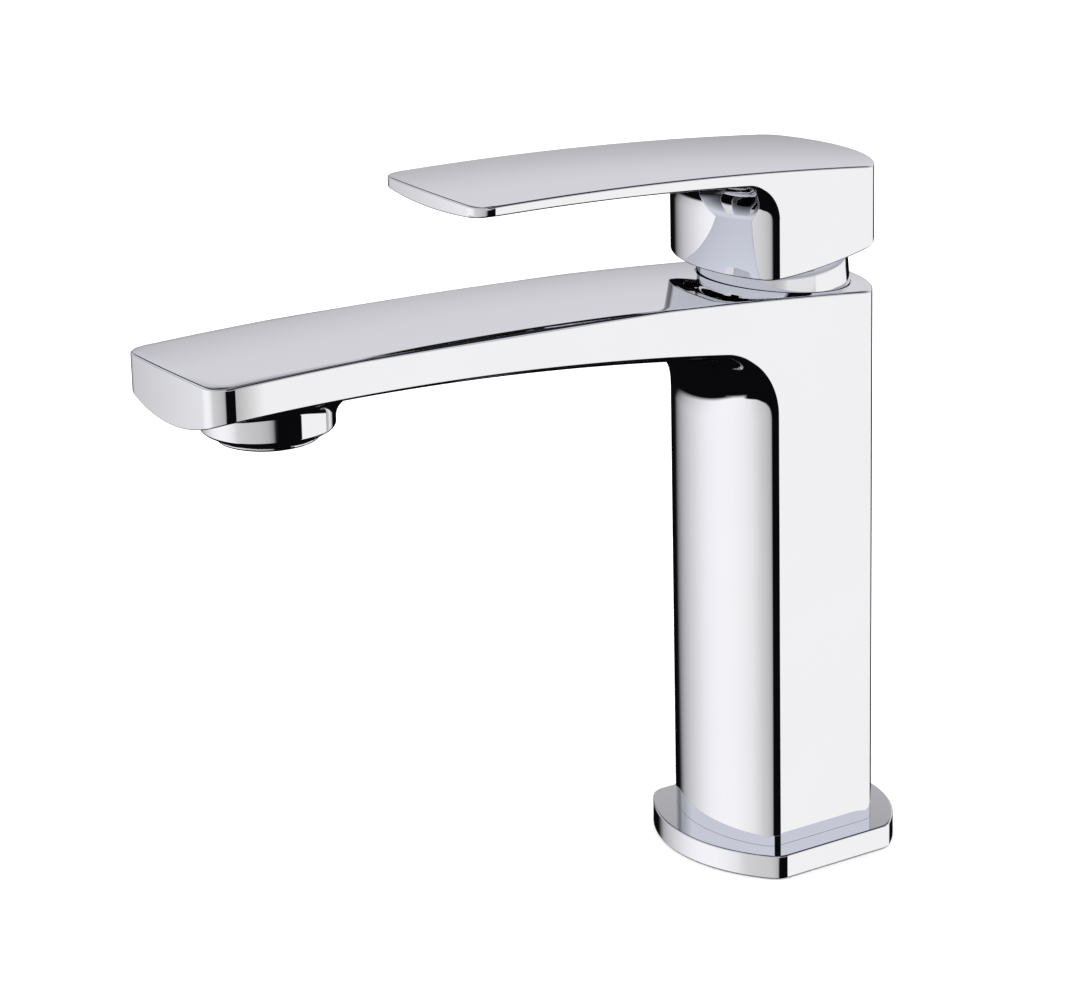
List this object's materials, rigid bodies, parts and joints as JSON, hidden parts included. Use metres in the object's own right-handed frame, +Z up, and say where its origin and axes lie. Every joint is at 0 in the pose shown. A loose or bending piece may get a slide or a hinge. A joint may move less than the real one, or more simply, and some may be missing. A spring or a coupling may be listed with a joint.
{
  "type": "bathroom mixer faucet",
  "caption": "Single-lever deck-mounted basin mixer: square bowed column on a cover plate, long flat spout with a round aerator, lifting and turning lever.",
  "frame": {"origin": "where the cartridge axis meets the basin top, at the underside of the body's spigot", "axes": "+Z up; -Y along the spout, away from the column; +X to the right of someone who looks along +Y, the cold side"},
  "size_m": [0.049, 0.1794, 0.1666],
  "materials": {
    "chrome": "mirror-polished chrome plating",
    "brass": "turned",
    "steel": "machined",
    "white_plastic": "moulded",
    "grey_plastic": "moulded",
    "ceramic": null,
    "rubber": "moulded"
  },
  "bodies": {
    "root": {"body": "chrome", "base_flange": "chrome", "base_gasket": "rubber", "collar": "chrome", "cartridge_nut": "brass", "cartridge_housing": "white_plastic", "cartridge_base": "grey_plastic", "inlet_seal_hot": "rubber", "inlet_seal_cold": "rubber", "disc_seal_hot": "rubber", "disc_seal_cold": "rubber", "disc_seal_outlet": "rubber", "housing_seal": "rubber", "collar_o_ring": "rubber", "fixed_disc": "ceramic", "temperature_limit_ring": "grey_plastic", "aerator_holder": "chrome", "aerator_screen": "steel", "jet_former": "white_plastic", "flow_limiter": "grey_plastic", "outlet_washer": "rubber"},
    "turret": {"stem_turret": "grey_plastic", "pivot_pin": "steel"},
    "lever": {"handle": "chrome", "lever_stem": "steel", "set_screw": "steel", "screw_plug": "grey_plastic"},
    "sledge": {"disc_carrier": "white_plastic", "moving_disc": "ceramic"}
  },
  "joints": [
    {"name": "handle_turn", "type": "hinge", "parent": "root", "child": "turret", "pos_m": [0, 0, 0.138], "axis": [0, 0, 1], "range_deg": [-45, 45]},
    {"name": "handle_lift", "type": "hinge", "parent": "turret", "child": "lever", "pos_m": [0, 0, 0.138], "axis": [-1, 0, 0], "range_deg": [0, 20]},
    {"name": "disc_slide", "type": "slide", "parent": "turret", "child": "sledge", "axis": [0, -1, 0], "range_m": [0, 0.0038]}
  ],
  "couplings": [
    {"joint": "disc_slide", "follows": "handle_lift", "m_per_rad": 0.01078}
  ]
}
